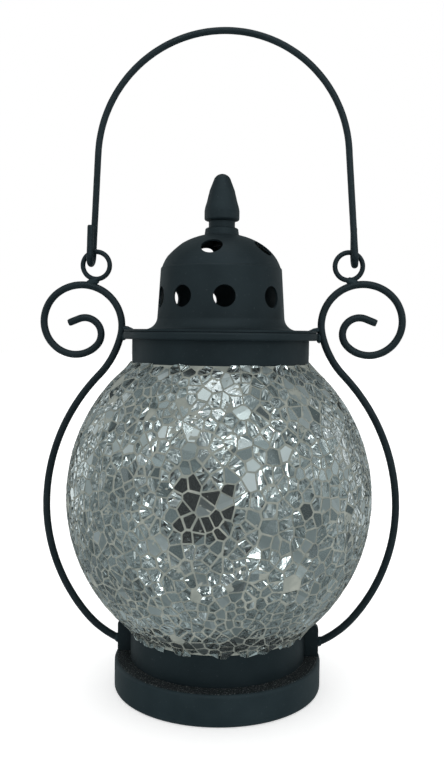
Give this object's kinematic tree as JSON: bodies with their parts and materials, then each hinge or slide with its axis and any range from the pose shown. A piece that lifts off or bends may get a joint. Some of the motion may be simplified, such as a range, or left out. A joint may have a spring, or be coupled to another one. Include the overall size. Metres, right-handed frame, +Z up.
{
  "type": "hanging candle lantern",
  "caption": "Globe-shaped candle lantern of silver mosaic glass in a black metal frame, with a pierced dome lid, scrolled side wires and a swinging wire handle.",
  "frame": {"origin": "centre of the plinth's bottom edge, on the surface it stands on", "axes": "+Z up along the lantern's axis, +X towards the right-hand side wire, so the side wires and the bail at rest lie in the XZ plane, and -Y is the front"},
  "size_m": [0.1682, 0.14, 0.3011],
  "materials": {
    "black_metal": "satin powder coat",
    "black_base": "satin powder coat, rough on the shelf",
    "black_wire": "satin powder coat",
    "weld": "painted weld bead",
    "zinc": "dull zinc plate",
    "glass": "clear",
    "mosaic": "silvered crackle-glass shards in pale grout"
  },
  "bodies": {
    "base": {"plinth": "black_base", "drip_tray": "black_base", "candle_cup": "zinc", "cup_rivet": "zinc"},
    "cage": {"lower_collar": "black_metal", "globe_glass": "glass", "mosaic_skin": "mosaic", "upper_collar": "black_metal", "ring_flange": "black_metal", "dome_lid": "black_metal", "finial_base": "black_metal", "finial_spike": "black_metal", "finial_washer": "zinc", "finial_nut": "zinc", "left_ear": "black_metal", "right_ear": "black_metal", "left_scroll": "black_wire", "right_scroll": "black_wire", "left_eyelet": "black_wire", "right_eyelet": "black_wire", "left_eyelet_weld": "weld", "right_eyelet_weld": "weld", "rim_welds": "weld", "ear_welds": "weld"},
    "bail": {"bail": "black_wire"}
  },
  "joints": [
    {"name": "cage_lift", "type": "slide", "parent": "base", "child": "cage", "axis": [0, 0, 1], "range_m": [0, 0.12]},
    {"name": "bail_swing", "type": "hinge", "parent": "cage", "child": "bail", "pos_m": [0, 0, 0.1997], "axis": [1, 0, 0], "range_deg": [-120, 120]}
  ]
}
